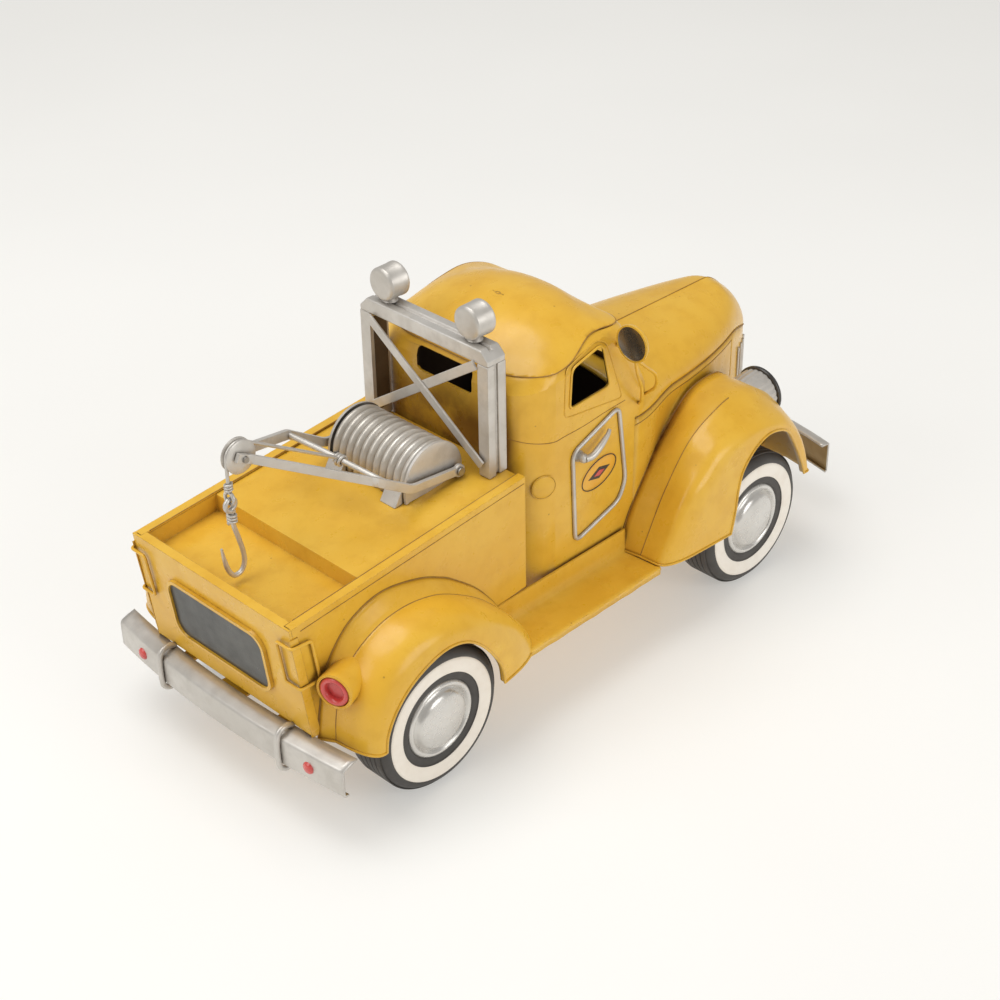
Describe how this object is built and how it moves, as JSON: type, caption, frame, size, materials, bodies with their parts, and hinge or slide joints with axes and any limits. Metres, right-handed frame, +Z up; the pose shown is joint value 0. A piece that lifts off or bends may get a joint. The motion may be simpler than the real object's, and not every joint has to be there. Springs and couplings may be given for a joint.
{
  "type": "toy tow truck",
  "caption": "Pressed sheet steel toy tow truck with rounded fenders, rolling wheels, lifting boom, grooved pulley and swinging hook",
  "frame": {"origin": "on the ground under the middle of the overall length, on the centre line", "axes": "+X front of the truck, +Y its left side, +Z up"},
  "size_m": [0.4055, 0.176, 0.215],
  "materials": {
    "yellow_paint": "satin, antiqued brown in the seams",
    "silver_paint": "satin",
    "steel": "satin",
    "tyre": "matt, cream side wall",
    "red_lens": "gloss",
    "clear_lens": "gloss",
    "black_paint": "gloss",
    "dark_panel": "gloss",
    "mirror": "gloss",
    "dark_interior": "matt"
  },
  "bodies": {
    "chassis": {"axle_front": "steel", "axle_rear": "steel", "bed_deck": "yellow_paint", "bed_side_left": "yellow_paint", "bed_side_right": "yellow_paint", "bumper_brackets": "yellow_paint", "bumper_guards": "silver_paint", "cab_body": "yellow_paint", "cab_roof": "yellow_paint", "corner_loops": "yellow_paint", "cowl_sides": "yellow_paint", "door_handle": "silver_paint", "door_trim": "silver_paint", "floor_pan": "yellow_paint", "front_bumper": "silver_paint", "front_fender_left": "yellow_paint", "front_fender_right": "yellow_paint", "gantry_beam": "silver_paint", "gantry_braces": "silver_paint", "gantry_leg_left": "silver_paint", "gantry_leg_right": "silver_paint", "grille_bars": "silver_paint", "grille_shell": "yellow_paint", "headlamp_lenses": "clear_lens", "headlamp_rims": "black_paint", "headlamp_shells": "silver_paint", "hood": "yellow_paint", "mirror_head": "mirror", "mirror_stays": "yellow_paint", "rear_bumper": "silver_paint", "rear_fender_left": "yellow_paint", "rear_fender_right": "yellow_paint", "rear_reflectors": "red_lens", "running_board_left": "yellow_paint", "running_board_right": "yellow_paint", "seat_bench": "dark_interior", "tail_lamp_housings": "yellow_paint", "tail_lamp_lenses": "red_lens", "tail_panel": "dark_panel", "tailgate": "yellow_paint", "winch_base": "silver_paint", "winch_cover": "silver_paint", "winch_pivot_pin": "steel", "work_lamps": "silver_paint"},
    "wheel_front_left": {"tyre_front_left": "tyre", "hub_front_left": "silver_paint"},
    "wheel_front_right": {"tyre_front_right": "tyre", "hub_front_right": "silver_paint"},
    "wheel_rear_left": {"tyre_rear_left": "tyre", "hub_rear_left": "silver_paint"},
    "wheel_rear_right": {"tyre_rear_right": "tyre", "hub_rear_right": "silver_paint"},
    "boom": {"boom_arm_left": "silver_paint", "boom_arm_right": "silver_paint", "boom_cross_brace": "silver_paint", "tow_cable": "silver_paint", "sheave_pin": "steel"},
    "sheave_wheel": {"sheave": "silver_paint"},
    "hook_swing": {"hook": "silver_paint"}
  },
  "joints": [
    {"name": "front_left_wheel_spin", "type": "hinge", "parent": "chassis", "child": "wheel_front_left", "pos_m": [0.109, 0.069, 0.039], "axis": [0, 1, 0], "continuous": true},
    {"name": "front_right_wheel_spin", "type": "hinge", "parent": "chassis", "child": "wheel_front_right", "pos_m": [0.109, -0.069, 0.039], "axis": [0, 1, 0], "continuous": true},
    {"name": "rear_left_wheel_spin", "type": "hinge", "parent": "chassis", "child": "wheel_rear_left", "pos_m": [-0.131, 0.069, 0.039], "axis": [0, 1, 0], "continuous": true},
    {"name": "rear_right_wheel_spin", "type": "hinge", "parent": "chassis", "child": "wheel_rear_right", "pos_m": [-0.131, -0.069, 0.039], "axis": [0, 1, 0], "continuous": true},
    {"name": "boom_lift", "type": "hinge", "parent": "chassis", "child": "boom", "pos_m": [-0.0665, 0, 0.1295], "axis": [0, 1, 0], "range_deg": [-1, 20]},
    {"name": "sheave_spin", "type": "hinge", "parent": "boom", "child": "sheave_wheel", "pos_m": [-0.175, 0, 0.1735], "axis": [0, 1, 0], "continuous": true},
    {"name": "hook_sway", "type": "hinge", "parent": "boom", "child": "hook_swing", "pos_m": [-0.1822, 0, 0.14995], "axis": [0, 1, 0], "range_deg": [-40, 8]}
  ]
}
